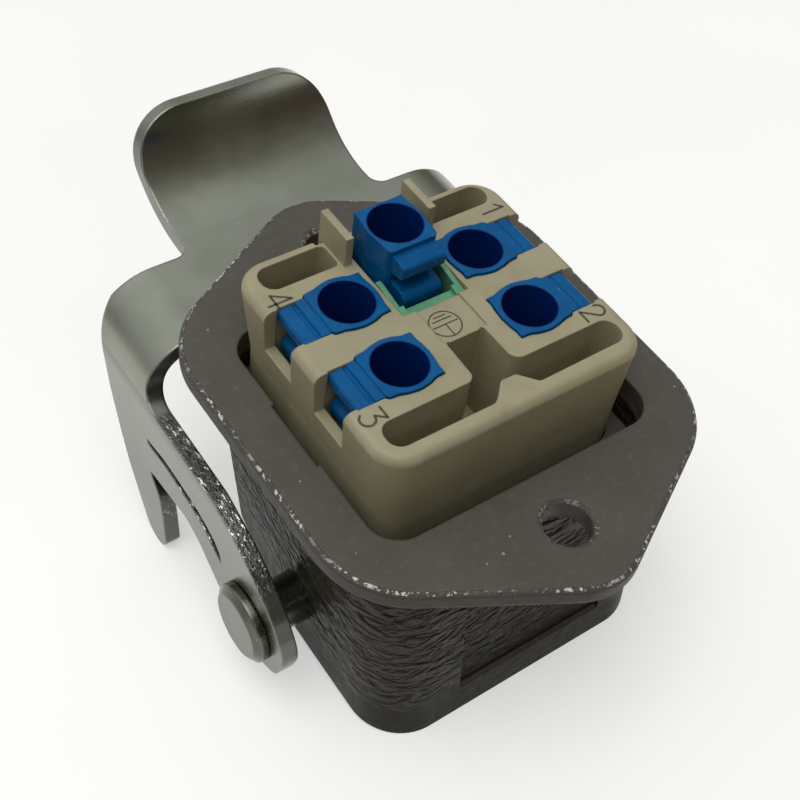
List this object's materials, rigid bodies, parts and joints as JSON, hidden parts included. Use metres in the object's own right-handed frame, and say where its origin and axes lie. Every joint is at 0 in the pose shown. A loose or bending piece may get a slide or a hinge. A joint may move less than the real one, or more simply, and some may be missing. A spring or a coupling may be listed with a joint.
{
  "type": "industrial connector",
  "caption": "Rectangular industrial power connector: grey die-cast panel housing with a steel locking lever, and a beige insert with blue quick-lock terminals and a green earth frame.",
  "frame": {"origin": "on the flange's panel face, midway between the two panel screw holes", "axes": "+Z out of the wire side, +X from poles 4 and 3 to poles 1 and 2, +Y from the front wall to the lever's web"},
  "size_m": [0.037, 0.0523, 0.0319],
  "materials": {
    "grey_enamel": "hammered enamel",
    "zinc_plate": "bright zinc plated",
    "beige_moulding": "fine matt",
    "blue_moulding": "satin",
    "green_moulding": "satin",
    "silver_contact": "silver plated copper alloy",
    "black_rubber": "matt"
  },
  "bodies": {
    "base": {"housing": "grey_enamel", "pivot_pin_left": "zinc_plate", "pivot_pin_right": "zinc_plate", "mating_seal": "black_rubber", "insert_body": "beige_moulding", "mating_face": "beige_moulding", "contact_1": "silver_contact", "contact_2": "silver_contact", "contact_3": "silver_contact", "contact_4": "silver_contact", "earth_contact": "silver_contact", "earth_plate": "silver_contact", "earth_frame": "green_moulding", "fixing_screw": "zinc_plate"},
    "lever": {"locking_lever": "zinc_plate"},
    "release_1": {"actuator_1": "blue_moulding"},
    "release_2": {"actuator_2": "blue_moulding"},
    "release_3": {"actuator_3": "blue_moulding"},
    "release_4": {"actuator_4": "blue_moulding"},
    "release_earth": {"earth_actuator": "blue_moulding"}
  },
  "joints": [
    {"name": "lever_hinge", "type": "hinge", "parent": "base", "child": "lever", "pos_m": [0, -0.0032, -0.015], "axis": [-1, 0, 0], "range_deg": [0, 62]},
    {"name": "actuator_1_slide", "type": "slide", "parent": "base", "child": "release_1", "axis": [0, 0, 1], "range_m": [0, 0.0027]},
    {"name": "actuator_2_slide", "type": "slide", "parent": "base", "child": "release_2", "axis": [0, 0, 1], "range_m": [0, 0.0027]},
    {"name": "actuator_3_slide", "type": "slide", "parent": "base", "child": "release_3", "axis": [0, 0, 1], "range_m": [0, 0.0027]},
    {"name": "actuator_4_slide", "type": "slide", "parent": "base", "child": "release_4", "axis": [0, 0, 1], "range_m": [0, 0.0027]},
    {"name": "earth_actuator_slide", "type": "slide", "parent": "base", "child": "release_earth", "axis": [0, 0, 1], "range_m": [-0.0027, 0]}
  ]
}
